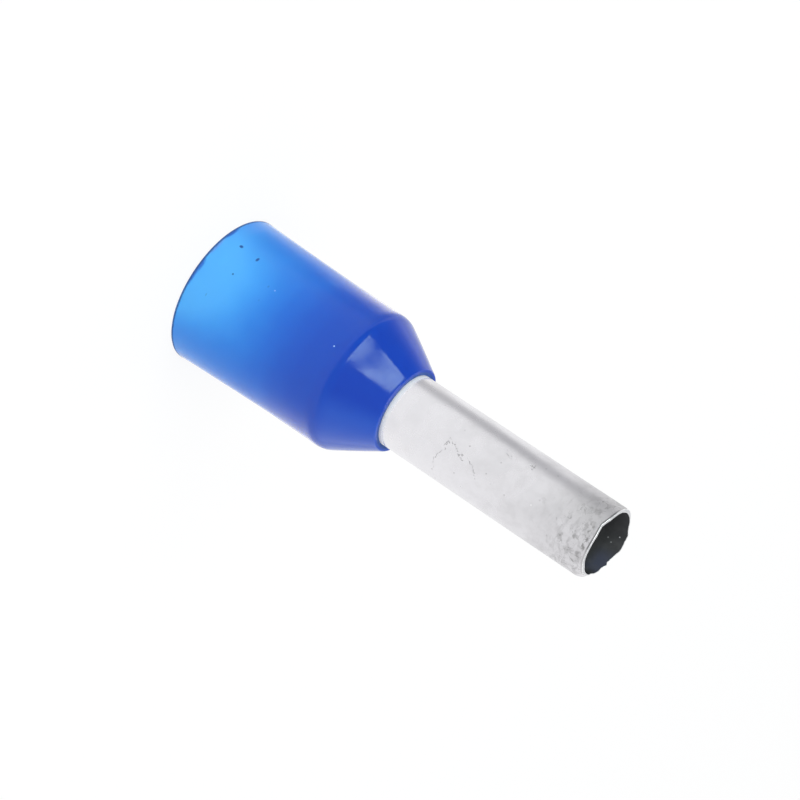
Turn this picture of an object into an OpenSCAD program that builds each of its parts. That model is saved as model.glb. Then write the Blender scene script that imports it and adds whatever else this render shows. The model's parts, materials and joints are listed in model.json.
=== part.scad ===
// Wire ferrule: a tinned copper tube with a moulded plastic collar for the wire's insulation.
// It stands on the collar's open end, with the pin pointing up. Every length is in millimetres.

/* [Tube] */
// Outer diameter of the pin
pin_d = 2.56; // [2.4:0.02:2.8]
// Length of the pin in front of the collar
pin_l = 8; // [6:0.5:18]
// Wall of the drawn tube
tube_wall = 0.16; // [0.12:0.01:0.25]
// How much the punch that opens the bell has widened the tube between the nose and the bell
swage_w = 0.03; // [0.01:0.01:0.08]
// Radius that the tube's wall is bent round at the bell mouth
bell_bend = 1.4; // [1:0.1:1.6]
// Width of the ledge left between the bell's edge and the collar's bore
bell_ledge = 0.17; // [0.1:0.01:0.25]

/* [Collar] */
// Length of the collar from the open end to the nose
collar_l = 7.6; // [7.2:0.1:10]
// Diameter of the straight part of the body
body_d = 4.89; // [4.7:0.01:5]
// How much the body widens towards the open end, on each side and without the lip
flare_w = 0.095; // [0.04:0.005:0.2]
// Length of the stretch that widens towards the open end
flare_l = 3.8; // [2:0.1:5]
// Wall of the straight part of the body
collar_wall = 0.29; // [0.22:0.01:0.36]
// Length of the cone between the body and the nose
cone_l = 1.64; // [1.2:0.02:2]
// Wall of the nose round the tube
nose_wall = 0.2; // [0.12:0.01:0.4]
// Radius on the edge of the nose
nose_round = 0.05; // [0.02:0.01:0.07]
// Clearance between the tube and the collar, zero because the collar grips it
grip_gap = 0; // [0:0.01:0.05]

/* [Open end] */
// Height of the lip round the open end
lip_h = 0.045; // [0.02:0.005:0.1]
// Length over which the lip fades into the body
lip_l = 0.25; // [0.15:0.05:0.6]
// Radius on the edges of the open end
rim_round = 0.05; // [0.02:0.01:0.1]
// Depth of the bore for the insulation, down to the ledge
seat_depth = 4.3; // [3.5:0.1:4.8]
// Length of the lead-in at the mouth of the bore
lead_l = 0.5; // [0.2:0.1:1]
// Width of the lead-in at the mouth of the bore
lead_w = 0.12; // [0.05:0.01:0.2]

/* [Sheared tip] */
// How far the longest point of the sheared tip passes the pin's length
shear_over = 0.05; // [0.02:0.01:0.1]
// Side on which the long facet of the shear is lowest, in degrees
long_facet_side = 250; // [0:5:355]
// Slope of the long facet, in degrees
long_facet_slope = 4.4; // [1:0.1:8]
// Height of the long facet at the axis, over the pin's length
long_facet_rise = 0.03; // [0:0.01:0.05]
// Side on which the short facet of the shear is lowest, in degrees
short_facet_side = 40; // [0:5:355]
// Slope of the short facet, in degrees
short_facet_slope = 14.9; // [10:0.1:20]
// Height of the short facet at the axis, over the pin's length
short_facet_rise = 0.25; // [0.15:0.01:0.35]
// Length of the stretch whose wall the shear has pushed inwards
burr_l = 0.25; // [0.15:0.05:0.5]
// How far the hole has moved over at the tip
burr_shift = 0.06; // [0.02:0.01:0.1]
// Side on which the wall is pushed in, in degrees
burr_side = 30; // [0:5:355]

/* [Hidden] */
facets = 120;
arc_steps = 8;
// The moved hole starts this much inside the bore, all round
burr_least = 0.005;

pin_r = pin_d / 2;
tube_bore_r = pin_r - tube_wall;
total_l = collar_l + pin_l;
burr_z = total_l - burr_l;

body_r = body_d / 2;
mouth_r = body_r + flare_w;
bore_r = body_r - collar_wall;
root_r = pin_r + swage_w;
nose_r = pin_r + grip_gap + nose_wall;
shoulder_z = collar_l - cone_l;

// The bell and the funnel that it sits in are bent round one centre
bell_rim_r = bore_r - bell_ledge;
bell_angle = acos(1 - (bell_rim_r - root_r) / bell_bend);
bell_root_z = seat_depth + bell_bend * sin(bell_angle);
bell_centre = [root_r + bell_bend, bell_root_z];

// The cone's slope against the axis, and the centre of the rounded edge of the nose
cone_slope = atan((body_r - nose_r) / cone_l);
nose_centre_z = collar_l - nose_round;
nose_centre_r = nose_r - nose_round / cos(cone_slope) + nose_round * tan(cone_slope);

// Radius of the body's outside on the stretch that widens towards the open end
function flare_r(z) = mouth_r + (body_r - mouth_r) * z / flare_l;

// Points of an arc in the [radius, height] plane of a revolved profile
function arc(centre, r, from, to) = [
    for (i = [0 : arc_steps])
        let (a = from + (to - from) * i / arc_steps)
        centre + r * [cos(a), sin(a)]
];

rim_r = mouth_r + lip_h;
collar_outside = concat(
    arc([rim_r - rim_round, rim_round], rim_round, -90, 0),
    [[flare_r(lip_l), lip_l], [body_r, flare_l], [body_r, shoulder_z]],
    arc([nose_centre_r, nose_centre_z], nose_round, cone_slope, 90)
);
collar_inside = concat(
    [[pin_r + grip_gap, collar_l]],
    arc(bell_centre, bell_bend - grip_gap, 180, 180 + bell_angle),
    [[bore_r, seat_depth], [bore_r, lead_l]],
    arc([bore_r + lead_w + rim_round, rim_round], rim_round, 180, 270)
);

module revolved(profile) {
    rotate_extrude($fn = facets)
        polygon(profile);
}

// Moulded collar: mouth with lip and lead-in, flared body, cone, nose and the funnel for the bell
module collar() {
    color("royalblue")
        revolved(concat(collar_outside, collar_inside));
}

// Everything above one sloping facet of the shear
module above_facet(side, slope, rise) {
    size = 4 * pin_d;
    translate([0, 0, total_l + rise])
        rotate([0, slope, side])
            translate([-size / 2, -size / 2, 0])
                cube(size);
}

// Drawn tube with its bell mouth, as far as the burr
module bell_tube() {
    revolved(concat(
        arc(bell_centre, bell_bend, 180 + bell_angle, 180),
        [[pin_r, collar_l], [pin_r, burr_z], [tube_bore_r, burr_z], [tube_bore_r, collar_l]],
        arc(bell_centre, bell_bend + tube_wall, 180, 180 + bell_angle)
    ));
}

// Last stretch of the tube, where the hole leans over because the wall is pushed in on one side
module burr_ring() {
    lean = atan(burr_shift / burr_l);
    translate([0, 0, burr_z])
        difference() {
            cylinder(h = burr_l + shear_over, r = pin_r, $fn = facets);
            rotate([0, -lean, burr_side])
                cylinder(h = 4 * pin_d, r = (tube_bore_r - burr_least) * cos(lean), center = true, $fn = facets);
        }
}

// Tinned copper tube: bell mouth inside the collar, pin outside, sheared and slightly crushed tip
module sleeve() {
    color("silver")
        difference() {
            union() {
                bell_tube();
                burr_ring();
            }
            above_facet(long_facet_side, long_facet_slope, long_facet_rise);
            above_facet(short_facet_side, short_facet_slope, short_facet_rise);
        }
}

collar();
sleeve();
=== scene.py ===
# %% [markdown]
# # A wire ferrule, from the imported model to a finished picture
# The object is an insulated end sleeve: a thin tinned copper tube, 15.6 mm long, with a moulded blue
# collar on one end for the wire's insulation. It stands on the collar's open end, with the pin pointing up.
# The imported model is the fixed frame. It could be shown as it is, but its walls are plain turned solids. So
# both pieces get a finer mesh here, on the same sizes, with the small unevenness and the finish of the real
# thing.

# %% Load the frame
import json
import math

import bpy
from mathutils import Matrix, Quaternion, Vector, noise


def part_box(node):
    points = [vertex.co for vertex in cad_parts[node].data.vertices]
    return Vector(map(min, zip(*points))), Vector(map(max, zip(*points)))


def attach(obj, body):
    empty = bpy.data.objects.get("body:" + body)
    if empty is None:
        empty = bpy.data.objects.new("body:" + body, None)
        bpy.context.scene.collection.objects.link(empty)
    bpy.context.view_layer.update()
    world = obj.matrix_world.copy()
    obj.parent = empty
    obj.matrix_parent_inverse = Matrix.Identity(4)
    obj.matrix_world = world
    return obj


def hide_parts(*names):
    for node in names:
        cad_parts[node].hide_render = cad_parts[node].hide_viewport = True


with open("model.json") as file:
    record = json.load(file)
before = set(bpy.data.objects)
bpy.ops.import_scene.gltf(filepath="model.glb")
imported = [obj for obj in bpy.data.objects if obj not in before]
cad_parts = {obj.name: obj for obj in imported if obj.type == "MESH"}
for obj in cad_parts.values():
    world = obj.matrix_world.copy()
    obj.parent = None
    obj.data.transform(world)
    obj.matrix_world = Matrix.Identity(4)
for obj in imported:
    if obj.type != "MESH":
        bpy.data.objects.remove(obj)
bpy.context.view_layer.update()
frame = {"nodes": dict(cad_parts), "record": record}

print("pieces in the frame:", ", ".join(sorted(frame["nodes"])))

# %% [markdown]
# ## Sizes
# A turned part is described by a few radii and heights. The ones that matter for fitting are read from the
# frame, from the boxes of the two pieces and from the record's mounts, so that they are never written twice.
# The rest are the maker's own sizes for the outline, given in metres through one millimetre constant.

# %% Sizes read from the frame
MM = 0.001

mounts = {mount["name"]: mount for mount in frame["record"]["mounts"]}
pin_r = mounts["pin"]["dims"]["r_mm"] * MM
tube_bore_r = mounts["conductor_bore"]["dims"]["r_mm"] * MM
bore_r = mounts["insulation_bore"]["dims"]["r_mm"] * MM
bore_length = mounts["insulation_bore"]["dims"]["length_mm"] * MM
bore_middle = mounts["insulation_bore"]["pos_m"][2]
pin_length = mounts["pin"]["dims"]["length_mm"] * MM

collar_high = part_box("collar")[1]
collar_length = collar_high.z
rim_r = collar_high.x
tip_z = collar_length + pin_length
tube_wall = pin_r - tube_bore_r
seat_depth = bore_middle + bore_length / 2
lead_length = bore_middle - bore_length / 2
print(f"collar {collar_length / MM:.2f} mm long, rim {rim_r / MM:.3f} mm in radius")
print(f"pin {pin_r / MM:.2f} mm in radius, wall {tube_wall / MM:.2f} mm, tip at {tip_z / MM:.2f} mm")

# %% Sizes of the outline
body_r = 2.45 * MM
flare_width = 0.105 * MM
flare_length = 3.8 * MM
shoulder_z = 5.935 * MM
shoulder_softness = 0.085 * MM
cone_slopes = [
    # height where the slope starts, and the slope in degrees
    (shoulder_z, 28.3),
    (6.30 * MM, 29.2),
    (6.80 * MM, 30.4),
]
cone_softness = 0.009 * MM
nose_round = 0.06 * MM
rim_round = 0.05 * MM
lead_width = 0.12 * MM
seam_gap = 0.004 * MM

swage_width = 0.03 * MM
bell_bend = 1.4 * MM
bell_ledge = 0.17 * MM
root_r = pin_r + swage_width
bell_rim_r = bore_r - bell_ledge
bell_angle = math.degrees(math.acos(1 - (bell_rim_r - root_r) / bell_bend))
bell_root_z = seat_depth + bell_bend * math.sin(math.radians(bell_angle))
bell_centre = (root_r + bell_bend, bell_root_z)
print(f"bell bent through {bell_angle:.1f} degrees, its root at {bell_root_z / MM:.2f} mm")

# %% [markdown]
# ## The camera
# A small part looks best through a long lens from well away, so that the far end hardly shrinks. The camera
# looks down on the standing part from the tip's side, and it is rolled, so that the pin points down to the
# right. A tracking target could turn it, but leaves the roll open, so the camera's axes are worked out from
# those two angles and set as one matrix.

# %% Place the camera
camera_height = math.radians(23.83)
camera_roll = math.radians(33.74)
camera_distance = 105.1 * MM
camera_lens = 151.3
camera_near = 1 * MM
camera_far = 10.0
view_lift = 0.2 * MM
view_centre = Vector((0, 0, tip_z / 2 + view_lift))
view_right_offset = -0.452 * MM
view_down_offset = -0.526 * MM

towards_camera = Vector((0, -math.cos(camera_height), math.sin(camera_height)))
axis_in_view = Vector((0, math.sin(camera_height), math.cos(camera_height)))
across_axis = Vector((1, 0, 0))
view_right = math.cos(camera_roll) * axis_in_view - math.sin(camera_roll) * across_axis
view_down = math.sin(camera_roll) * axis_in_view + math.cos(camera_roll) * across_axis

camera_data = bpy.data.cameras.new("camera")
camera_data.lens = camera_lens
camera_data.clip_start = camera_near
camera_data.clip_end = camera_far
camera = bpy.data.objects.new("camera", camera_data)
camera_place = view_centre + view_right_offset * view_right + view_down_offset * view_down
camera_place += camera_distance * towards_camera
axes = Matrix((view_right, -view_down, towards_camera)).transposed()
camera.matrix_world = Matrix.Translation(camera_place) @ axes.to_4x4()
bpy.context.scene.collection.objects.link(camera)
bpy.context.scene.camera = camera
bpy.context.scene.view_settings.view_transform = "Standard"
print("camera at", [round(value / MM, 1) for value in camera_place], "mm")

# %% [markdown]
# ## Helpers for materials
# A procedural material is a small graph. Writing each node and link by hand takes many lines, so a few short
# helpers do it: two set or link sockets, one adds a node, two add a node of arithmetic, and the rest are the
# masks, blends and noise that come back in every finish. Each material below is then read as a list of what
# it is made from.

# %% Node helpers
def connect(tree, socket, value):
    """Links the socket to another node's output, or sets it to a number or colour."""
    if isinstance(value, bpy.types.NodeSocket):
        tree.links.new(value, socket)
    else:
        socket.default_value = value


def set_sockets(tree, node, sockets):
    """Links or sets several sockets of a node, given by name or number."""
    for name, value in sockets.items():
        connect(tree, node.inputs[name], value)


def add_node(tree, kind, sockets=None, **settings):
    """Adds a node of that kind, with its settings and its sockets by name or number."""
    made = tree.nodes.new(kind)
    for name, value in settings.items():
        setattr(made, name, value)
    set_sockets(tree, made, sockets or {})
    return made


def maths(tree, operation, *values):
    """The output of one arithmetic node."""
    sockets = dict(enumerate(values))
    return add_node(tree, "ShaderNodeMath", sockets, operation=operation).outputs[0]


def vector_maths(tree, operation, *values):
    """The output of one node of vector arithmetic, which is a number for a length or a dot product."""
    made = add_node(tree, "ShaderNodeVectorMath", dict(enumerate(values)), operation=operation)
    gives_number = operation in ("LENGTH", "DISTANCE", "DOT_PRODUCT")
    return made.outputs["Value" if gives_number else "Vector"]


# %% Masks, blends and noise
def between(tree, value, low, high, out_low=0.0, out_high=1.0):
    """The value mapped smoothly from low..high to out_low..out_high, and held beyond them."""
    sockets = {"Value": value, "From Min": low, "From Max": high, "To Min": out_low, "To Max": out_high}
    return add_node(tree, "ShaderNodeMapRange", sockets, interpolation_type="SMOOTHSTEP").outputs[0]


def between_sides(tree, turn, low, high, out_low=0.0, out_high=1.0):
    """The same, for a turn round the axis in radians and its two ends in degrees."""
    return between(tree, turn, math.radians(low), math.radians(high), out_low, out_high)


def blend_colours(tree, share, first, second):
    """Two colours blended by a share."""
    made = add_node(tree, "ShaderNodeMix", data_type="RGBA")
    for name, value in (("Factor_Float", share), ("A_Color", first), ("B_Color", second)):
        socket = next(s for s in made.inputs if s.identifier == name)
        connect(tree, socket, value)
    return next(s for s in made.outputs if s.identifier == "Result_Color")


def product(tree, *masks):
    """Several masks multiplied together."""
    result = masks[0]
    for mask in masks[1:]:
        result = maths(tree, "MULTIPLY", result, mask)
    return result


def paint(tree, colour, layers):
    """A colour with others laid over it in turn, each through its own mask."""
    for mask, shade in layers:
        colour = blend_colours(tree, mask, colour, shade)
    return colour


def cloud(tree, place, size, detail=3.0, distortion=0.0):
    """Soft three-dimensional noise whose lumps are about that size."""
    sockets = {"Vector": place, "Scale": 1 / size, "Detail": detail, "Distortion": distortion}
    return add_node(tree, "ShaderNodeTexNoise", sockets).outputs[0]


# %% Starting a material
def new_material(name):
    """An empty material with its output and a Principled shader, ready to be wired."""
    material = bpy.data.materials.new(name)
    material.use_nodes = True
    tree = material.node_tree
    tree.nodes.clear()
    output = add_node(tree, "ShaderNodeOutputMaterial")
    shader = add_node(tree, "ShaderNodeBsdfPrincipled")
    tree.links.new(shader.outputs[0], output.inputs[0])
    print("material:", name)
    return material, tree, shader


def own_place(tree):
    """The point being shaded, in the piece's own metres."""
    return add_node(tree, "ShaderNodeTexCoord").outputs["Object"]


def height_and_turn(tree, place):
    """The height of a point, and its turn round the axis in radians."""
    parts = add_node(tree, "ShaderNodeSeparateXYZ", {0: place})
    return parts.outputs["Z"], maths(tree, "ARCTAN2", parts.outputs["Y"], parts.outputs["X"])


def add_relief(tree, shader, relief, strength, depth):
    """Fine relief in the shading alone, from a mask."""
    bump = add_node(tree, "ShaderNodeBump", {"Strength": strength, "Distance": depth, "Height": relief})
    connect(tree, shader.inputs["Normal"], bump.outputs[0])


# %% [markdown]
# ## The studio
# The part stands on a white table in a pale room. What a glossy part shows is its surroundings, so the room
# is not evenly white: the side of the window and the wall behind the camera are dimmer, which keeps the blue
# deep, and the wall behind the part is dim above a white sweep. Real walls could be built for that, but the
# world's own colour is quicker to change. It is worked out from the direction looked in, with one soft dim
# patch for each of these.

# %% The room
room_white = (1.0, 1.0, 1.0, 1.0)
room_dim = (0.24, 0.25, 0.27, 1.0)
room_strength = 1.35


def direction(side, height):
    """A direction given by its angle to the right of the camera and its angle above the table."""
    side, height = math.radians(side), math.radians(height)
    return Vector((math.sin(side) * math.cos(height), -math.cos(side) * math.cos(height), math.sin(height)))


dim_patches = [
    # side, height, where the dimming starts and is full as cosines of the angle away, how strong it is
    (-70, 22, 0.25, 0.92, 1.00),
    (20, 35, -0.35, 1.00, 0.80),
    (180, 28, 0.90, 0.985, 0.85),
]

world = bpy.data.worlds.new("pale_room")
bpy.context.scene.world = world
world.use_nodes = True
room = world.node_tree
room.nodes.clear()
looking = add_node(room, "ShaderNodeTexCoord").outputs["Generated"]
dimness = 0.0
for side, height, starts, full, strength in dim_patches:
    facing = vector_maths(room, "DOT_PRODUCT", looking, direction(side, height))
    patch = between(room, facing, starts, full, 0.0, strength)
    dimness = maths(room, "MAXIMUM", patch, dimness)
room_colour = blend_colours(room, dimness, room_white, room_dim)
background = add_node(room, "ShaderNodeBackground", {"Color": room_colour, "Strength": room_strength})
room_output = add_node(room, "ShaderNodeOutputWorld")
room.links.new(background.outputs[0], room_output.inputs[0])
print(f"world: a pale room with {len(dim_patches)} dim patches")

# %% [markdown]
# ## The table
# The table keeps the part's shadow, but it should stay paper white. Turning the lamps up would burn out the
# metal, so a share of the table's look is a plain white of strength 1, which the camera and the part's gloss
# see alike. The light that the table throws back on the part stays that of matt paper.

# %% The table
table_half = 0.5
paper = 0.9
plain_white_share = 0.88
plain_white_strength = 1.0

table_mesh = bpy.data.meshes.new("table")
corners = [(-table_half, -table_half, 0), (table_half, -table_half, 0)]
corners += [(table_half, table_half, 0), (-table_half, table_half, 0)]
table_mesh.from_pydata(corners, [], [(0, 1, 2, 3)])
table = bpy.data.objects.new("table", table_mesh)
bpy.context.scene.collection.objects.link(table)

table_paper, tree, shader = new_material("table_paper")
paper_white = (paper, paper, paper, 1)
set_sockets(tree, shader, {"Base Color": paper_white, "Roughness": 1.0, "Specular IOR Level": 0.0})
plain_white = add_node(tree, "ShaderNodeEmission", {"Strength": plain_white_strength})
rays = add_node(tree, "ShaderNodeLightPath")
seen = maths(tree, "MAXIMUM", rays.outputs["Is Camera Ray"], rays.outputs["Is Glossy Ray"])
seen = maths(tree, "MAXIMUM", seen, rays.outputs["Is Transmission Ray"])
share = maths(tree, "MULTIPLY", seen, plain_white_share)
looks = {0: share, 1: shader.outputs[0], 2: plain_white.outputs[0]}
paper_mix = add_node(tree, "ShaderNodeMixShader", looks)
tree.links.new(paper_mix.outputs[0], tree.nodes["Material Output"].inputs[0])
table_mesh.materials.append(table_paper)
print(f"table {2 * table_half:.1f} m square")

# %% [markdown]
# ## The lamps
# A wide softbox hangs above, and a window stands high on the left of the camera. Seen from the part, the
# window is two leaning bright panes with a dim one between them. The cone's slope changes a little on the way
# to the nose, so it shows the panes one above the other as two pale patches with a gap. An area lamp is the
# plain choice for all of them, because it both lights the part and shows in its gloss.

# %% Softbox and window
def area_lamp(name, side, height, distance, width, tall, brightness, colour, lean=0.0):
    """An area lamp that faces the part. Its power is worked out from how bright its face is."""
    data = bpy.data.lights.new(name, "AREA")
    data.shape = "RECTANGLE"
    data.size = width
    data.size_y = tall
    data.energy = brightness * math.pi * width * tall
    data.color = colour
    lamp = bpy.data.objects.new(name, data)
    place = direction(side, height) * distance
    lamp.location = Vector((0, 0, tip_z / 2)) + place
    lamp.rotation_mode = "QUATERNION"
    lamp.rotation_quaternion = (-place).to_track_quat("-Z", "Y") @ Quaternion((0, 0, 1), math.radians(lean))
    bpy.context.scene.collection.objects.link(lamp)
    print(f"{name}: {width:.3f} m by {tall:.4f} m, {data.energy:.2f} W")


softbox_white = (1.0, 1.0, 1.0)
daylight = (0.71, 0.94, 0.85)
window_distance = 0.25
window_lean = 9
window_panes = [
    # name, side and height in degrees, width, how tall it is, brightness
    ("lower_pane", -41.5, 26.4, 0.228, 0.0155, 5.6),
    ("middle_pane", -39, 29.4, 0.150, 0.0100, 1.6),
    ("upper_pane", -42, 33.3, 0.222, 0.0142, 7.6),
]

area_lamp("softbox", side=-25, height=68, distance=0.35, width=0.26, tall=0.26, brightness=3.0,
          colour=softbox_white)
for name, side, height, width, tall, brightness in window_panes:
    area_lamp(name, side, height, window_distance, width, tall, brightness, daylight, window_lean)

# %% [markdown]
# ## Cards on the table
# Without anything dark near it, a polished cylinder looks flat. A grey card lies on the table to the left
# behind the part, out of sight, and shows as the one darker streak along the pin. Two white cards behind the
# part do the opposite for the collar, and give its sides their pale glow. Each card is laid out along the
# rays that the round wall sends to the table, and it fades out at its edges, so it never shows as a hard
# line.

# %% Lay the cards
card_lift = 0.2 * MM
card_steps = 16


def lay_card(name, turns, rows, shade, brightness, fade):
    """A glowing card seen in gloss alone, between two turns and through rows of reach, turn and cover.

    Turns are in degrees to the right of the camera. The fade gives the shares of its width, from each side,
    over which it comes in."""
    points = []
    faces = []
    across = []
    covers = []
    for reach, extra_turn, cover in rows:
        for step in range(card_steps + 1):
            turn = turns[0] + (turns[1] - turns[0]) * step / card_steps
            wall_point = direction(turn / 2, 0) * body_r
            points.append(wall_point + direction(turn + extra_turn, 0) * reach + Vector((0, 0, card_lift)))
            across.append(step / card_steps)
            covers.append(cover)
    for row in range(len(rows) - 1):
        first = row * (card_steps + 1)
        second = first + card_steps + 1
        faces += [(first + i, first + i + 1, second + i + 1, second + i) for i in range(card_steps)]
    mesh = bpy.data.meshes.new(name)
    mesh.from_pydata(points, [], faces)
    for label, values in (("across", across), ("cover", covers)):
        mesh.attributes.new(label, "FLOAT", "POINT").data.foreach_set("value", values)
    card = bpy.data.objects.new(name, mesh)
    bpy.context.scene.collection.objects.link(card)
    card.visible_camera = False
    card.visible_shadow = False
    card.visible_diffuse = False

    material, tree, shader = new_material(name)
    place = add_node(tree, "ShaderNodeAttribute", attribute_name="across").outputs["Fac"]
    cover = add_node(tree, "ShaderNodeAttribute", attribute_name="cover").outputs["Fac"]
    set_sockets(tree, shader, {
        "Base Color": (0, 0, 0, 1),
        "Specular IOR Level": 0.0,
        "Emission Color": shade,
        "Emission Strength": brightness,
        "Alpha": product(tree, between(tree, place, 0.0, fade[0]), between(tree, place, 1.0, fade[1]), cover),
    })
    mesh.materials.append(material)
    print(f"{name}: {len(faces)} faces")


# %% Three cards
grey_rows = [
    # reach from the wall, turn added there in degrees, and cover
    (0.9 * MM, 0, 0.75),
    (20 * MM, 0, 0.76),
    (27 * MM, 2, 0.82),
    (34 * MM, 13, 0.85),
    (60 * MM, 24, 0.70),
]
white_rows = [(6 * MM, 0, 0.0), (8 * MM, 0, 0.3), (10 * MM, 0, 1.0), (12.5 * MM, 0, 1.0), (15 * MM, 0, 0.0)]
card_grey = (0.42, 0.42, 0.44, 1)
warm_white = (1.0, 0.95, 0.80, 1)
pale_white = (1.0, 0.97, 0.90, 1)

lay_card("grey_card", (-140, -78), grey_rows, card_grey, 1.0, (0.45, 0.62))
lay_card("left_white_card", (-175, -112), white_rows, warm_white, 1.9, (0.15, 0.40))
lay_card("right_white_card", (175, 80), white_rows, pale_white, 1.45, (0.10, 0.50))

# %% [markdown]
# ## Turning a profile
# Both pieces are bodies of revolution, so each mesh is a profile turned round the axis. Blender's Screw
# modifier could do that, but writing the points ourselves lets a small function push each one in or out by
# its place, which gives a wavy rim or a torn tip as real geometry.

# %% Helpers for profiles
def arc(centre, radius, start, end, steps):
    """Points of a round stretch in the radius and height plane, between two angles in degrees."""
    turns = [math.radians(start + (end - start) * i / steps) for i in range(steps + 1)]
    return [(centre[0] + radius * math.cos(turn), centre[1] + radius * math.sin(turn)) for turn in turns]


def spaced(start, end, steps):
    """Evenly spaced numbers from start to end."""
    return [start + (end - start) * (i / steps) for i in range(steps + 1)]


def smooth_step(value, low, high):
    """0 below low and 1 above high, with a smooth rise between them."""
    share = min(1.0, max(0.0, (value - low) / (high - low)))
    return share * share * (3 - 2 * share)


def degrees_away(angle, centre):
    """How far an angle is from a centre, the short way round."""
    return abs((angle - centre + 180) % 360 - 180)


def hump(angle, centre, half_width):
    """One smooth hump round the axis, 1 at its centre and 0 past its half width, in degrees."""
    away = degrees_away(angle, centre) / half_width
    return 0.5 + 0.5 * math.cos(math.pi * min(away, 1.0))


def broad_hump(angle, centre, half_width, full_at):
    """A hump with a broad top: it is 1 wherever the plain hump is above full_at."""
    return smooth_step(hump(angle, centre, half_width), 0.0, full_at)


# %% Turning the profile
sharp_corner = 40


def on_wall(radius, height, angle):
    """The point at that radius and height, and at that angle in degrees round the axis."""
    turn = math.radians(angle)
    return Vector((radius * math.cos(turn), radius * math.sin(turn), height))


def flutter(radius, height, angle, size, seed):
    """Soft noise between about -1 and 1 on the turned surface, with lumps of that size."""
    return noise.noise(on_wall(radius, height, angle) / size + Vector((seed, 0, 0)))


def turn_profile(name, bands, uneven, segments):
    """Turns bands of profile points round the axis and closes the last row to the first.

    Each band is a list of points with the material that its rows get. The uneven function moves a point,
    given its radius, height and angle."""
    rows = [(point, index) for index, (points, _) in enumerate(bands) for point in points]
    vertices = []
    for (radius, height), _ in rows:
        for step in range(segments):
            angle = 360 * step / segments
            vertices.append(on_wall(*uneven(radius, height, angle), angle))
    faces = []
    finishes = []
    for row in range(len(rows)):
        below = row * segments
        above = (row + 1) % len(rows) * segments
        for step in range(segments):
            beside = (step + 1) % segments
            faces.append((below + step, below + beside, above + beside, above + step))
            finishes.append(rows[row][1])
    mesh = bpy.data.meshes.new(name)
    mesh.from_pydata(vertices, [], faces)
    for _, material in bands:
        mesh.materials.append(material)
    mesh.polygons.foreach_set("material_index", finishes)
    mesh.shade_smooth()
    mesh.set_sharp_from_angle(angle=math.radians(sharp_corner))
    piece = bpy.data.objects.new(name, mesh)
    bpy.context.scene.collection.objects.link(piece)
    print(f"{name}: {len(rows)} rows of {segments}, {2 * len(faces)} triangles")
    return piece


# %% [markdown]
# ## The collar's outline
# A moulded collar is a short tube with a flared mouth, a shoulder, a cone and a blunt nose. Its outside could
# be a chain of straight lines, but moulded corners are never sharp: the shoulder is where two slopes meet in
# a small radius, with a faint bead of material just before it, and the cone gets a little steeper towards the
# nose. One function gives the radius at any height.

# %% Outside of the collar
lip_height = 0.035 * MM
lip_length = 0.12 * MM
bead_height = 0.009 * MM
bead_z = 5.68 * MM
bead_spread = 0.16 * MM
flare_curve = 1.15
nose_overhang = 0.03 * MM


def soft_least(a, b, softness):
    """The smaller of two numbers, with the corner between them rounded."""
    share = max(softness - abs(a - b), 0.0) / softness
    return min(a, b) - share * share * softness / 4


def collar_outside(z):
    """Radius of the collar's outside at a height."""
    flare = flare_width * max(0.0, 1 - z / flare_length) ** flare_curve
    lip = lip_height * max(0.0, 1 - z / lip_length) ** 2
    bead = bead_height * math.exp(-((z - bead_z) / bead_spread) ** 2)
    body = body_r + flare + lip + bead
    lines = []
    start_r, before_z, before_slope = body_r, shoulder_z, 0
    for start_z, slope in cone_slopes:
        start_r -= math.tan(math.radians(before_slope)) * (start_z - before_z)
        lines.append(start_r - math.tan(math.radians(slope)) * (z - start_z))
        before_z, before_slope = start_z, slope
    cone = lines[0]
    for line in lines[1:]:
        cone = soft_least(cone, line, cone_softness)
    return soft_least(body, cone, shoulder_softness)


nose_z = collar_length + nose_overhang
nose_r = collar_outside(nose_z)
print(f"nose {nose_r / MM:.3f} mm in radius, so its wall is {(nose_r - pin_r) / MM:.3f} mm")

# %% Profile of the collar
collar_segments = 288
last_slope = cone_slopes[-1][1]
nose_lean = math.radians(last_slope)
nose_inset = nose_round / math.cos(nose_lean) - nose_round * math.tan(nose_lean)
nose_centre = (nose_r - nose_inset, nose_z - nose_round)
tube_seat_r = pin_r + seam_gap
seam_round = 0.012 * MM
mouth_end = 0.3 * MM
bend_starts = 5.5 * MM
bend_ends = 6.3 * MM

outside_heights = spaced(rim_round, mouth_end, 8)[1:] + spaced(mouth_end, bend_starts, 44)[1:]
outside_heights += spaced(bend_starts, bend_ends, 24)[1:] + spaced(bend_ends, nose_centre[1], 26)[1:-1]
rim_centre = (collar_outside(rim_round) - rim_round, rim_round)
outside = arc(rim_centre, rim_round, -90, 0, 6)
outside += [(collar_outside(z), z) for z in outside_heights]
outside += arc(nose_centre, nose_round, last_slope, 90, 8)
outside += arc((tube_seat_r + seam_round, nose_z - seam_round), seam_round, 90, 180, 5)

seat_chamfer = 0.03 * MM
seat_band = 0.15 * MM
inside = [(tube_seat_r + (root_r - pin_r) * share, collar_length + (bell_root_z - collar_length) * share)
          for share in spaced(0.1, 0.9, 8)]
inside += arc(bell_centre, bell_bend - seam_gap, 180, 180 + bell_angle, 16)
inside += [(bore_r - seat_chamfer, seat_depth), (bore_r, seat_depth - seat_chamfer)]
inside += [(bore_r, z) for z in spaced(seat_depth - seat_band, lead_length, 20)]
lead_end = (bore_r + lead_width + rim_round, rim_round)
inside += [(bore_r + lead_width * share, lead_length + (rim_round - lead_length) * share)
           for share in spaced(0.15, 0.9, 5)]
inside += arc(lead_end, rim_round, 180, 270, 5)
print(f"collar profile: {len(outside)} points outside, {len(inside)} inside")
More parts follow.
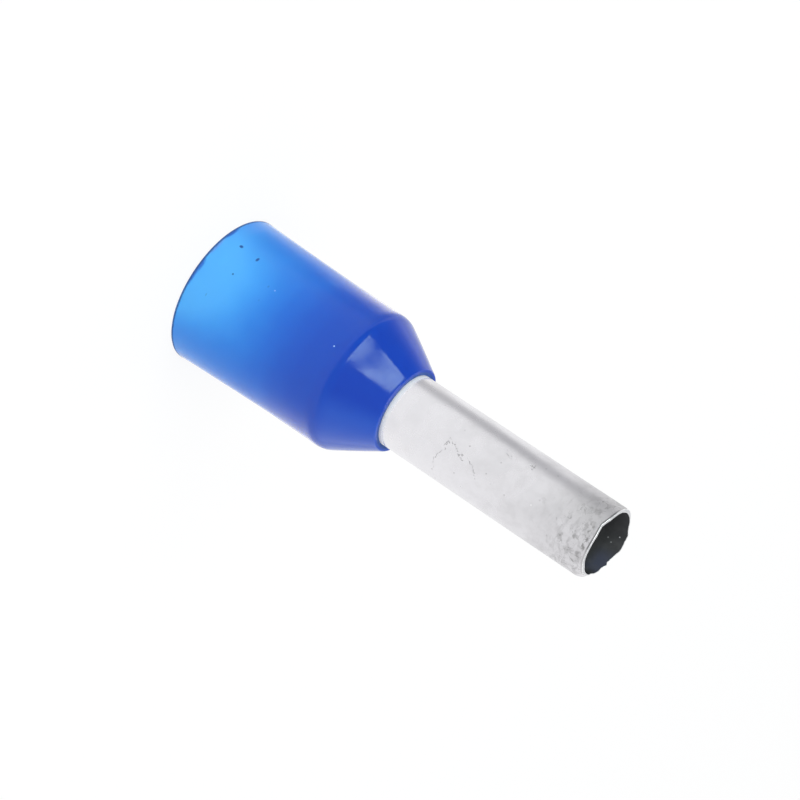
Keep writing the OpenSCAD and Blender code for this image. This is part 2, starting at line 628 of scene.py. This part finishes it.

# %% [markdown]
# ## The blue plastic
# The collar is translucent plastic coloured with dye. Near the mouth the wall is thin and empty behind, so
# light comes through it bright and azure, and that light is painted into the base colour. Further in it lies
# over the metal bell, where the wall grows thick, and the blue deepens, which is painted shade. Dye takes a
# fixed share of each colour out of light for each step of its way, so the colours along the collar follow
# that law between a painted bright thin-wall blue, a shaded deep blue and a shaded blue on the cone, instead
# of being picked one by one.

# %% Colours along the collar
# painted light and shade: the azure stands for light through the thin wall, the two deeper blues for shade
backlit_thin_wall_blue = (0.083, 0.452, 0.96)
shaded_deep_blue = (0.001, 0.068, 0.500)
shaded_cone_blue = (0.003, 0.049, 0.430)
depth_starts = 0.9 * MM
depth_ends = 5.45 * MM
cone_blue_z = shoulder_z + 0.2 * MM


def dyed_and_shaded(share, first=backlit_thin_wall_blue, last=shaded_deep_blue):
    """The colour after a share of the way from the first to the last, darkening by the law of dye; here it
    paints shade.
    """
    return tuple(a * (b / a) ** share for a, b in zip(first, last))


def collar_colour(z):
    """The plastic's colour at a height: painted light at the mouth, and painted shade over the bell and on
    the cone.
    """
    if z <= depth_ends:
        return dyed_and_shaded(smooth_step(z, depth_starts, depth_ends))
    return dyed_and_shaded(smooth_step(z, depth_ends, cone_blue_z), shaded_deep_blue, shaded_cone_blue)


print("blue at the mouth, the middle and the nose:")
for z in (0, collar_length / 2, collar_length):
    print("  ", [round(value, 3) for value in collar_colour(z)])

# %% [markdown]
# ## Marks in the plastic
# A close look at a moulded part finds a few dark specks and pale dust grains, and short darker streaks in the
# rim where the plastic met the parting face of the mould. They could be painted by hand, but each is a small
# soft spot at a place on the wall, so lists of places and sizes, and one loop, make them all.

# %% Marks on the wall
dark_marks = [
    # side in degrees, height, half width and half height in millimetres, strength
    (235.5, 0.70, 0.075, 0.090, 0.95),
    (236.9, 1.44, 0.110, 0.062, 0.95),
    (257.1, 1.18, 0.050, 0.050, 0.75),
    (280.1, 0.81, 0.080, 0.030, 0.28),
    (249.9, 2.40, 0.060, 0.040, 0.32),
    (262.4, 2.45, 0.050, 0.035, 0.18),
]
pale_marks = [
    (249.7, 2.66, 0.036, 0.040, 0.45),
    (259.6, 5.47, 0.034, 0.034, 0.95),
]
rim_marks = [
    (230.0, 0.06, 0.46, 0.13, 0.90),
    (265.0, 0.05, 0.38, 0.17, 0.85),
    (272.0, 0.04, 0.62, 0.13, 0.85),
]
violet_marks = [
    (246.0, 0.06, 0.55, 0.14, 0.60),
]
speck_blue = (0.001, 0.055, 0.30, 1)
dust_blue = (0.40, 0.68, 1.0, 1)
streak_blue = (0.012, 0.110, 0.58, 1)
violet_blue = (0.150, 0.280, 0.76, 1)
spot_core = 0.4


def spots(tree, place, marks, wall):
    """A mask that is bright on each mark, given the wall's radius at a height."""
    mask = 0.0
    for side, height, half_width, half_height, strength in marks:
        centre = on_wall(wall(height * MM), height * MM, side)
        squeeze = Vector((1 / half_width, 1 / half_width, 1 / half_height)) / MM
        away = vector_maths(tree, "MULTIPLY", vector_maths(tree, "SUBTRACT", place, centre), squeeze)
        spot = between(tree, vector_maths(tree, "LENGTH", away), spot_core, 1.0, strength, 0.0)
        mask = maths(tree, "MAXIMUM", spot, mask)
    return mask


print(f"{len(dark_marks)} specks, {len(pale_marks)} grains and {len(rim_marks + violet_marks)} rim streaks")

# %% Blue along and round the wall
ramp_stops = 12
# painted shade: near the mouth the blue deepens towards the sides, away from one bright side facing the
# camera
bright_side = 265
side_shade_share = 0.64
side_shade_until = 3.6 * MM
streak_size = 1.6 * MM
streak_reach = 0.25 * MM
# painted light: a brighter blue where light falls on one side of the cone
lit_cone_blue = (0.016, 0.086, 0.505, 1)
lit_from_z = shoulder_z - 0.3 * MM
lit_full_z = shoulder_z + 0.4 * MM


def wall_blue(tree, place, height, turn):
    """The wall's blue ramp, with painted shade that deepens it towards the sides near the mouth, and a
    painted brighter blue where light falls on one side of the cone.
    """
    off_bright_side = maths(tree, "ABSOLUTE", maths(tree, "SUBTRACT", turn, math.radians(bright_side - 360)))
    side_shade = between_sides(tree, off_bright_side, 8, 58, 0.0, side_shade_share)
    below_bell = maths(tree, "MAXIMUM", maths(tree, "SUBTRACT", side_shade_until, height), 0.0)
    deeper = maths(tree, "MULTIPLY_ADD", side_shade, below_bell, height)
    streaks = cloud(tree, place, streak_size, detail=2.0)
    wander = maths(tree, "MULTIPLY_ADD", streaks, 2 * streak_reach, -streak_reach)
    along = maths(tree, "DIVIDE", maths(tree, "ADD", deeper, wander), collar_length)
    ramp = add_node(tree, "ShaderNodeValToRGB", {0: along})
    stops = ramp.color_ramp.elements
    while len(stops) < ramp_stops:
        stops.new(1.0)
    for i, stop in enumerate(stops):
        stop.position = i / (ramp_stops - 1)
        stop.color = (*collar_colour(collar_length * stop.position), 1)
    # painted light on one side of the cone
    lit = product(tree, between_sides(tree, turn, -76, -50), between_sides(tree, turn, 120, 50),
                  between(tree, height, lit_from_z, lit_full_z))
    return blend_colours(tree, lit, ramp.outputs[0], lit_cone_blue)


# %% Painted shade at the edge and the seam of the plastic
# painted shade: a dark band round the mouth's edge and one on the nose by the tube
edge_shade_blue = (0.040, 0.115, 0.32, 1)
seam_shade_blue = (0.022, 0.075, 0.26, 1)
ragged_size = 0.10 * MM
edge_solid = 0.080 * MM
edge_end = 0.125 * MM
edge_ragged = 0.03 * MM
seam_solid_r = pin_r + 0.10 * MM
seam_end_r = pin_r + 0.17 * MM
seam_ragged = 0.05 * MM
seam_from_z = nose_z - 0.12 * MM
seam_full_z = nose_z - 0.06 * MM


def edge_and_seam_shade(tree, place, height):
    """Masks of painted shade: a ragged dark band at the mouth's edge, where it stands on the table, and a
    dark band on the nose where it meets the tube.
    """
    fine = cloud(tree, place, ragged_size, detail=2.0)
    edge_height = maths(tree, "MULTIPLY_ADD", fine, edge_ragged, height)
    edge_shade = between(tree, edge_height, edge_solid, edge_end, 0.9, 0.0)
    radius = vector_maths(tree, "LENGTH", vector_maths(tree, "MULTIPLY", place, (1, 1, 0)))
    seam_reach = maths(tree, "MULTIPLY_ADD", fine, seam_ragged, radius)
    seam_shade = product(tree, between(tree, seam_reach, seam_solid_r, seam_end_r, 0.8, 0.0),
                      between(tree, height, seam_from_z, seam_full_z))
    return edge_shade, seam_shade


# %% The plastic's material
plastic_ior = 1.435
plastic_gloss = 0.5
matt_loss = -0.4
glow_share = 0.35
glow_depth = 0.15 * MM
haze_size = 0.25 * MM
plastic_roughness = (0.09, 0.13)
grain_depth = 0.004 * MM


def collar_plastic():
    """Glossy translucent plastic, azure at the mouth and deep blue at the nose."""
    material, tree, shader = new_material("collar_plastic")
    place = own_place(tree)
    height, turn = height_and_turn(tree, place)
    edge_shade, seam_shade = edge_and_seam_shade(tree, place, height)
    colour = paint(tree, wall_blue(tree, place, height, turn), [
        (spots(tree, place, violet_marks, collar_outside), violet_blue),
        (spots(tree, place, rim_marks, collar_outside), streak_blue),
        (spots(tree, place, dark_marks, collar_outside), speck_blue),
        (spots(tree, place, pale_marks, collar_outside), dust_blue),
        # painted shade at the mouth's edge and at the nose's seam
        (edge_shade, edge_shade_blue),
        (seam_shade, seam_shade_blue),
    ])
    matt = maths(tree, "MAXIMUM", edge_shade, seam_shade)
    haze = cloud(tree, place, haze_size, detail=2.0)
    set_sockets(tree, shader, {
        "Base Color": colour,
        "Specular IOR Level": maths(tree, "MULTIPLY_ADD", matt, matt_loss, plastic_gloss),
        "IOR": plastic_ior,
        "Subsurface Weight": glow_share,
        "Subsurface Radius": (1.0, 1.0, 1.0),
        "Subsurface Scale": glow_depth,
        "Roughness": between(tree, haze, 0.3, 0.7, *plastic_roughness),
    })
    add_relief(tree, shader, haze, strength=0.25, depth=grain_depth)
    return material


# %% Turn the collar
rim_flash = 0.007 * MM
rim_flash_reach = 0.22 * MM
rim_flash_size = 0.5 * MM
rim_flash_seed = 3.1
collar_ovality = 0.006 * MM
long_side = 160


def collar_uneven(radius, height, angle):
    """Slight ovality all over, and a faintly wavy edge of flash at the mouth."""
    at_rim = 1 - smooth_step(height, 0, rim_flash_reach)
    outer = smooth_step(radius, bore_r, body_r)
    wave = flutter(rim_r, 0, angle, rim_flash_size, rim_flash_seed)
    r = radius + collar_ovality * math.cos(math.radians(2 * (angle - long_side))) * outer
    r += rim_flash * wave * at_rim * outer
    return r, height


plastic = collar_plastic()
collar_bands = [(outside, plastic), (inside, plastic)]
collar = turn_profile("collar_moulding", collar_bands, collar_uneven, collar_segments)
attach(collar, "root")
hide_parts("collar")

# %% [markdown]
# ## The tube's tip
# The tube is sheared to length, and a shear never leaves a clean ring. The wall is pushed inwards on one
# side, the cut dips where two strokes of the blade meet, and a torn burr stands up on the far side. A boolean
# cut would leave a clean face, so these are humps in height and radius round the axis instead, with some fine
# noise, and they fade out a little below the edge.

# %% Shape of the sheared tip
shear_reach = 0.45 * MM
push_reach = 0.30 * MM
push_depth = 0.10 * MM
# heights of the cut edge are in millimetres here, and sides and half widths in degrees
cut_lift = 0.036
tip_humps = [
    # side, half width, level of the plain hump above which it is flat, and height
    (270, 80, 0.4, 0.020),
    (108, 30, 0.6, 0.060),
    (46, 44, 0.5, -0.050),
]
notch_side, notch_half_width, notch_depth = 250, 17, 0.062
burr_side, burr_half_width, burr_height = 64, 6, 0.055
torn_side, torn_half_width = 75, 75
tear_size = 0.13 * MM
tear_seed = 7.7
tear_least, tear_most = 0.004, 0.022


def tip_lift(angle):
    """How far the cut edge lies above or below the pin's length, by side."""
    lift = cut_lift
    for side, half_width, full_at, height in tip_humps:
        lift += height * broad_hump(angle, side, half_width, full_at)
    lift -= notch_depth * max(0.0, 1 - degrees_away(angle, notch_side) / notch_half_width)
    lift += burr_height * hump(angle, burr_side, burr_half_width)
    tearing = tear_least + tear_most * hump(angle, torn_side, torn_half_width)
    lift += tearing * flutter(pin_r, 0, angle, tear_size, tear_seed)
    return lift * MM


def tip_push(angle):
    """How far the wall is pushed inwards at the cut, by side."""
    return push_depth * broad_hump(angle, 355, 62, 0.7)


print("cut edge by side, in mm:", {side: round(tip_lift(side) / MM, 3) for side in range(0, 360, 45)})

# %% Unevenness of the tube
cut_width = 0.126 * MM
dent_depth = 0.006 * MM
dent_size = 0.9 * MM
dent_seed = 1.3
scuff_depth = 0.004 * MM
scuff_size = 0.16 * MM
scuff_seed = 5.2
scuff_full = 0.5 * MM
scuff_end = 2.2 * MM
edge_groove = 0.012 * MM
groove_below = 0.075 * MM
groove_spread = 0.03 * MM
knife_reach = 0.15 * MM
knife_share = 0.80


def tube_uneven(radius, height, angle):
    """The drawn tube's faint waves, scuffs near the tip, and the sheared edge itself."""
    outer = smooth_step(radius, tube_bore_r + 0.4 * tube_wall, tube_bore_r + 0.6 * tube_wall)
    in_front = smooth_step(height, collar_length, collar_length + 0.4 * MM)
    below_edge = tip_z - height
    near_cut = 1 - smooth_step(below_edge, 0, shear_reach)
    near_push = 1 - smooth_step(below_edge, 0, push_reach)
    near_knife = 1 - smooth_step(below_edge, 0, knife_reach)
    scuffed = 1 - smooth_step(below_edge, scuff_full, scuff_end)
    groove = math.exp(-((below_edge - groove_below) / groove_spread) ** 2)
    knife = knife_share * broad_hump(angle, 78, 125, 0.4) * near_knife
    r = radius
    r += dent_depth * flutter(radius, height * 0.5, angle, dent_size, dent_seed) * in_front * outer
    r += scuff_depth * flutter(radius, height, angle, scuff_size, scuff_seed) * scuffed * outer
    r -= edge_groove * groove * broad_hump(angle, 232, 75, 0.4) * outer
    r -= knife * max(0.0, radius - (pin_r - cut_width))
    r -= tip_push(angle) * near_push
    return r, height + tip_lift(angle) * near_cut


print(f"wall {tube_wall / MM:.2f} mm, drawn down to {cut_width / MM:.3f} mm at the cut")

# %% Profile of the tube
tube_segments = 320
edge_round = 0.016 * MM
thinning = 0.40 * MM
groove_top = 0.022 * MM
groove_foot = 0.060 * MM
groove_gap = 0.01 * MM
plain_end = tip_z - 1.8 * MM
deep_bore_end = tip_z - 1.2 * MM


def bore_wall(z):
    """Radius of the bore at a height. The wall is drawn thin where the blade went through."""
    share = max(0.0, 1 - (tip_z - edge_round - z) / thinning)
    return tube_bore_r + (tube_wall - cut_width) * share


bell_outer = arc(bell_centre, bell_bend, 180 + bell_angle, 180, 16)
neck = [(root_r - swage_width * share, bell_root_z + (collar_length - bell_root_z) * share)
        for share in spaced(0.1, 1.0, 9)]
pin_heights = spaced(collar_length, plain_end, 40)[1:]
pin_heights += spaced(plain_end, tip_z - groove_foot - groove_gap, 36)[1:]
plated = bell_outer + neck + [(pin_r, z) for z in pin_heights]
groove = [(pin_r, z) for z in spaced(tip_z - groove_foot, tip_z - groove_top, 4)]

outer_corner = (pin_r - edge_round, tip_z - edge_round)
inner_corner = (pin_r - cut_width + edge_round, tip_z - edge_round)
cut = arc(outer_corner, edge_round, 20, 90, 4)
cut += [(r, tip_z) for r in spaced(outer_corner[0], inner_corner[0], 3)[1:-1]]
cut += arc(inner_corner, edge_round, 90, 150, 4)

bore_heights = spaced(tip_z - edge_round, tip_z - edge_round - thinning, 10)
bore_heights += spaced(bore_heights[-1], deep_bore_end, 10)[1:]
bore_heights += spaced(deep_bore_end, collar_length, 12)[1:]
bore = [(bore_wall(z), z) for z in bore_heights]
neck_bore_r = root_r - tube_wall - swage_width
neck_drop = collar_length - bell_root_z
bore += [(neck_bore_r + swage_width * share, collar_length - neck_drop * share)
         for share in spaced(0.12, 0.9, 6)]
bore += arc(bell_centre, bell_bend + tube_wall, 180, 180 + bell_angle, 16)
print(f"tube profile: {len(plated)} points plated, {len(cut)} on the cut, {len(bore)} in the bore")

# %% [markdown]
# ## The tin
# The copper is plated with tin, which is a soft, slightly warm grey metal with a satin face. New tin is
# nearly even, so the finish is in small things: a grey film that gets thicker towards the tip, pits and a
# dried tide mark. Each is a mask made of noise or of a list of places, and they are blended over one metal in
# turn.

# %% The pin's skin laid flat
scratch_core = 0.4
noise_middle = (0.5, 0.5, 0.5)


def unrolled(tree, height, turn):
    """The pin's skin laid flat, in metres: the way round it and the height."""
    way_round = maths(tree, "MULTIPLY", turn, pin_r)
    return add_node(tree, "ShaderNodeCombineXYZ", {"X": way_round, "Y": height}).outputs[0]


def shaken(tree, place, size, reach):
    """The place pushed about by noise of that size, by up to half the reach each way."""
    push = add_node(tree, "ShaderNodeTexNoise", {"Vector": place, "Scale": 1 / size, "Detail": 3.0})
    push = vector_maths(tree, "SUBTRACT", push.outputs["Color"], noise_middle)
    return vector_maths(tree, "ADD", place, vector_maths(tree, "MULTIPLY", push, reach))


def scratch(tree, flat, points, half_width):
    """A mask along a bent line on the laid-out skin, through points given by side and height."""
    mask = 0.0
    corners = [Vector((math.radians(side - 360) * pin_r, height * MM, 0)) for side, height in points]
    for start, end in zip(corners, corners[1:]):
        run = end - start
        away = vector_maths(tree, "SUBTRACT", flat, start)
        along = vector_maths(tree, "DOT_PRODUCT", away, run / run.length_squared)
        share = add_node(tree, "ShaderNodeClamp", {"Value": along}).outputs[0]
        miss = vector_maths(tree, "DISTANCE", away, vector_maths(tree, "MULTIPLY", run, share))
        line = between(tree, miss, scratch_core * half_width, half_width, 1.0, 0.0)
        mask = maths(tree, "MAXIMUM", line, mask)
    return mask


# %% Marks on the tin
tide_marks = [
    # each a bent line through points given by side in degrees and height in millimetres
    [(268, 10.00), (276, 9.93), (284, 9.96), (297, 9.80), (310, 9.76), (325, 9.84)],
    [(268, 10.00), (272, 10.22), (277, 10.46), (283, 10.70)],
    [(277, 10.86), (283, 11.06), (288, 11.22), (295, 11.28)],
    [(236, 11.60), (241, 11.78), (243, 11.96)],
    [(233, 12.62), (238, 12.74)],
]
pit_marks = [
    # the same columns as the marks on the wall
    (261, 10.63, 0.035, 0.035, 0.9),
    (280, 11.58, 0.035, 0.035, 0.7),
    (306, 10.59, 0.040, 0.030, 0.6),
    (256, 11.78, 0.030, 0.030, 0.7),
    (291, 12.43, 0.030, 0.030, 0.7),
    (246, 10.16, 0.025, 0.025, 0.5),
    (294, 14.64, 0.045, 0.045, 0.9),
]
bright_marks = [
    (281.5, 13.36, 0.030, 0.030, 0.9),
]
tin_clean = (0.835, 0.825, 0.855, 1)
tin_dull = (0.52, 0.51, 0.52, 1)
tin_stain = (0.24, 0.235, 0.235, 1)
tin_scuff = (0.36, 0.355, 0.36, 1)
tin_bright = (0.97, 0.97, 0.98, 1)
print(f"{len(pit_marks)} pits and {len(tide_marks)} tide lines")

# %% Film, pits and tide lines
aged_at_tip = 0.38
aged_end = tip_z + 2 * MM
blotch_size = 0.30 * MM
blotch_full_z = tip_z - 1 * MM
cloudiness = 0.16
tide_half_width = 0.024 * MM
tide_wander = 0.42 * MM
tide_wander_size = 0.13 * MM
tide_break_size = 0.06 * MM
pit_spacing = 0.42 * MM
fine_pit_strength = 0.35


def tin_film(tree, place, height, clouds):
    """How strong the grey film is: cloudy and blotchy, and thicker towards the tip."""
    aged = between(tree, height, collar_length, aged_end, 0.0, aged_at_tip)
    mottle = between(tree, cloud(tree, place, blotch_size), 0.38, 0.66)
    blotches = product(tree, mottle, between(tree, height, collar_length, blotch_full_z, 0.03, 0.14))
    film = maths(tree, "MULTIPLY_ADD", between(tree, clouds, 0.35, 0.75), cloudiness, aged)
    return maths(tree, "ADD", film, blotches)


def pits_and_tides(tree, place, flat):
    """A mask of the listed pits, the broken tide lines and a scatter of finer pits."""
    wavy = shaken(tree, flat, tide_wander_size, (tide_wander, tide_wander, 0))
    broken = between(tree, cloud(tree, place, tide_break_size, detail=1.0), 0.42, 0.54)
    marks = spots(tree, place, pit_marks, lambda z: pin_r)
    for points in tide_marks:
        line = product(tree, scratch(tree, wavy, points, tide_half_width), broken)
        marks = maths(tree, "MAXIMUM", marks, line)
    pits = add_node(tree, "ShaderNodeTexVoronoi", {"Vector": place, "Scale": 1 / pit_spacing})
    pit_near = between(tree, pits.outputs["Distance"], 0.05, 0.10, 1.0, 0.0)
    pit_some = add_node(tree, "ShaderNodeSeparateColor", {0: pits.outputs["Color"]}).outputs[0]
    pitted = product(tree, pit_near, between(tree, pit_some, 0.55, 0.75), fine_pit_strength)
    return maths(tree, "MAXIMUM", marks, pitted)


# %% [markdown]
# ## The worn tip
# The last two millimetres of the pin were gripped, rubbed and cut, so they are duller, dragged and smeared
# round the tube, and finely creased, with short dark dabs along the edge. One even darkening would look like
# a shadow, so several noises of different sizes, some of them stretched round the tube, break it up as
# handling does. The dabs are a list of places like the pits.

# %% Dabs at the tip
smudge_marks = [
    # short dark dabs by the edge, and softer ones further down, in the columns of the marks on the wall
    (290, 15.46, 0.150, 0.080, 1.00),
    (279, 15.47, 0.140, 0.060, 0.90),
    (267, 15.42, 0.090, 0.050, 0.60),
    (258, 15.42, 0.070, 0.060, 0.75),
    (264, 15.22, 0.230, 0.080, 0.50),
    (284, 15.12, 0.120, 0.130, 0.60),
    (236, 15.20, 0.200, 0.160, 0.40),
    (318, 15.28, 0.080, 0.160, 0.75),
    (328, 15.36, 0.060, 0.120, 0.60),
    (302, 15.38, 0.120, 0.120, 0.45),
    (306, 15.02, 0.200, 0.140, 0.35),
    (294, 14.66, 0.160, 0.110, 0.45),
    (277, 14.28, 0.060, 0.050, 0.40),
    (267, 13.66, 0.120, 0.120, 0.20),
]
dab_tear_size = 0.12 * MM
dab_tear = 0.30 * MM
print(f"{len(smudge_marks)} dabs at the tip")

# %% Scuffs, smears and creases
wear_from_z = tip_z - 2.3 * MM
wear_full_z = tip_z - 0.4 * MM
crumple_from_z = tip_z - 1.1 * MM
crumple_full_z = tip_z - 0.25 * MM
crease_from_z = tip_z - 1.6 * MM
crease_full_z = tip_z - 0.5 * MM
handled_size = 0.45 * MM
drag_size = 0.22 * MM
smear_size = 0.34 * MM
crumple_size = 0.36 * MM
fold_size = 0.42 * MM
drag_stretch = (0.45, 1.0, 1.0)


def right_half(tree, turn):
    """The half of the pin on the camera's right, which is its lower one in the rolled picture."""
    return product(tree, between_sides(tree, turn, -115, -75), between_sides(tree, turn, 160, 90))


def drag_marks(tree, place, flat):
    """Patches of handling, the drags in them and the smears across them."""
    stretched = vector_maths(tree, "MULTIPLY", flat, drag_stretch)
    patchy = between(tree, cloud(tree, place, handled_size, detail=4.0), 0.36, 0.62)
    drags = between(tree, cloud(tree, stretched, drag_size, detail=6.0, distortion=1.2), 0.44, 0.66)
    smears = between(tree, cloud(tree, stretched, smear_size, detail=5.0, distortion=1.6), 0.54, 0.68)
    return patchy, product(tree, drags, patchy), smears


def crumples_and_creases(tree, place, height, patchy):
    """Stains in the crumpled lip, and the thin lines where two lumps of noise meet."""
    crumpled = between(tree, cloud(tree, place, crumple_size, detail=4.0, distortion=2.0), 0.56, 0.64)
    crumpled = product(tree, crumpled, between(tree, height, crumple_from_z, crumple_full_z, 0.0, 0.25))
    folds = cloud(tree, place, fold_size, detail=2.0, distortion=1.4)
    off_crease = maths(tree, "ABSOLUTE", maths(tree, "SUBTRACT", folds, 0.5))
    creases = product(tree, between(tree, off_crease, 0.004, 0.022, 1.0, 0.0), patchy,
                      between(tree, height, crease_from_z, crease_full_z, 0.0, 0.6))
    return crumpled, creases


# %% The tin's material
cloud_size = 1.1 * MM
mark_strength = 0.60
dab_strength = 0.80
# painted highlight: a bright white band on the tin just past the collar's nose, less metallic there
painted_joint_highlight = (1.0, 0.98, 0.95, 1)
joint_z = collar_length + 0.12 * MM
joint_end = collar_length + 0.25 * MM
rubbed_end = collar_length + 0.24 * MM
dull_from_z = tip_z - 4 * MM
tin_relief = 0.008 * MM
tin_roughness = (0.24, 0.31)
scuff_roughness = 0.2


def tinned_copper():
    """Satin tin plating with clouds, pits, tide marks and a worn tip."""
    material, tree, shader = new_material("tinned_copper")
    place = own_place(tree)
    height, turn = height_and_turn(tree, place)
    flat = unrolled(tree, height, turn)
    clouds = cloud(tree, place, cloud_size, detail=4.0)
    marks = pits_and_tides(tree, place, flat)

    right = right_half(tree, turn)
    near_tip = between(tree, height, wear_from_z, wear_full_z)
    patchy, dragged, smears = drag_marks(tree, place, flat)
    scuffed = product(tree, dragged, maths(tree, "MULTIPLY_ADD", right, 0.22, 0.20), near_tip)
    smeared = product(tree, smears, near_tip, maths(tree, "MULTIPLY_ADD", right, 0.08, 0.24))
    crumpled, creases = crumples_and_creases(tree, place, height, patchy)
    dab_place = shaken(tree, place, dab_tear_size, (dab_tear, dab_tear, dab_tear))
    joint_highlight = between(tree, height, joint_z, joint_end, 1.0, 0.0)
    colour = paint(tree, tin_clean, [
        (tin_film(tree, place, height, clouds), tin_dull),
        # near the tip, the half away from the camera's right is dulled more: partly wear, partly painted
        # shade on that side
        (product(tree, near_tip, maths(tree, "MULTIPLY_ADD", right, -0.62, 0.60)), tin_dull),
        (product(tree, marks, mark_strength), tin_stain),
        (spots(tree, place, bright_marks, lambda z: pin_r), tin_bright),
        (scuffed, tin_scuff),
        (smeared, tin_scuff),
        (crumpled, tin_stain),
        (creases, tin_stain),
        (product(tree, spots(tree, dab_place, smudge_marks, lambda z: pin_r), dab_strength), tin_stain),
        # painted highlight by the joint
        (joint_highlight, painted_joint_highlight),
    ])

    rough = between(tree, clouds, 0.3, 0.7, *tin_roughness)
    rough = maths(tree, "MULTIPLY_ADD", scuffed, scuff_roughness, rough)
    rough = maths(tree, "ADD", rough, between(tree, height, dull_from_z, tip_z, 0.0, 0.12))
    rubbed = between(tree, height, joint_z, rubbed_end, 0.6, 0.0)
    set_sockets(tree, shader, {
        "Base Color": colour,
        "Metallic": maths(tree, "MULTIPLY_ADD", joint_highlight, -0.8, 1.0),
        "Roughness": maths(tree, "MAXIMUM", rough, rubbed),
    })
    relief = maths(tree, "SUBTRACT", product(tree, dragged, near_tip), marks)
    add_relief(tree, shader, relief, strength=0.4, depth=tin_relief)
    return material


# %% [markdown]
# ## The cut edge and the bore
# The cut shows bright metal, partly fresh from the blade and partly a painted highlight where it faces the
# light, and on one side the plating is turned over in a thin lip with a painted shadow under it as a dark
# line.
# Down the bore the wall is dull, and since hardly any light gets out again it is painted nearly black as
# shade, with a few grains of dust that catch the light. Masks by height could tell these apart, but each has
# its own rows of the profile, so they are three more materials on the same mesh.

# %% Materials of the cut
# painted highlight: the cut is brighter than the tin, partly as fresh metal and partly where it faces the
# light
cut_bright_and_lit = (0.97, 0.97, 0.97, 1)
cut_grey = (0.80, 0.80, 0.81, 1)
blade_drag_size = 0.07 * MM
blade_relief = 0.005 * MM
# painted shadow: the dark line under the turned-over lip
lip_shadow_grey = (0.20, 0.20, 0.205, 1)
groove_wander_size = 0.16 * MM


def sheared_edge():
    """Bright metal with fine drag lines, partly fresh from the blade and partly a painted highlight where the
    cut faces the light.
    """
    material, tree, shader = new_material("sheared_edge")
    drag = cloud(tree, own_place(tree), blade_drag_size)
    bright = blend_colours(tree, between(tree, drag, 0.3, 0.8), cut_bright_and_lit, cut_grey)
    set_sockets(tree, shader, {"Base Color": bright, "Metallic": 1.0, "Roughness": 0.4})
    add_relief(tree, shader, drag, strength=0.3, depth=blade_relief)
    return material


def lip_shadow_line():
    """The line just under the cut, with a painted shadow under the turned-over lip and plain tin elsewhere.
    """
    material, tree, shader = new_material("lip_shadow_line")
    place = own_place(tree)
    turn = height_and_turn(tree, place)[1]
    ragged = maths(tree, "MULTIPLY_ADD", cloud(tree, place, groove_wander_size), 0.5, turn)
    lip_shadow = product(tree, between_sides(tree, ragged, -140, -120),
                        between_sides(tree, ragged, -45, -60), 0.85)
    colour = blend_colours(tree, lip_shadow, tin_dull, lip_shadow_grey)
    set_sockets(tree, shader, {"Base Color": colour, "Metallic": 1.0, "Roughness": 0.35})
    return material


# %% Material of the bore
dust_marks = [
    # the same columns as the marks on the wall
    (112, 15.48, 0.030, 0.030, 0.95),
    (102, 15.15, 0.034, 0.034, 0.30),
    (98, 15.31, 0.030, 0.030, 0.40),
]
# painted shade: the bore is painted nearly black for the shade down the tube
bore_shade_grey = (0.075, 0.076, 0.080, 1)
bore_blue = (0.080, 0.088, 0.135, 1)
bore_film = (0.15, 0.15, 0.155, 1)
dust_white = (0.95, 0.95, 0.97, 1)
film_size = 0.35 * MM
blue_from_z = tip_z - 0.7 * MM
blue_full_z = tip_z - 0.25 * MM


def dull_bore():
    """Dull metal painted nearly black as the shade down the bore, with a bluish side and grains of dust."""
    material, tree, shader = new_material("dull_bore")
    place = own_place(tree)
    height, turn = height_and_turn(tree, place)
    bluish = product(tree, between_sides(tree, turn, 25, 50), between_sides(tree, turn, 95, 65),
                     between(tree, height, blue_from_z, blue_full_z))
    film = cloud(tree, place, film_size, detail=4.0)
    colour = paint(tree, bore_shade_grey, [
        (bluish, bore_blue),
        (between(tree, film, 0.45, 0.8, 0.0, 0.4), bore_film),
        (spots(tree, place, dust_marks, bore_wall), dust_white),
    ])
    set_sockets(tree, shader, {"Base Color": colour, "Metallic": 0.3, "Roughness": 0.6})
    return material


# %% Turn the tube
tin = tinned_copper()
tube_bands = [(plated, tin), (groove, lip_shadow_line()), (cut, sheared_edge()), (bore, dull_bore())]
tube = turn_profile("drawn_tube", tube_bands, tube_uneven, tube_segments)
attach(tube, "root")
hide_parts("sleeve")
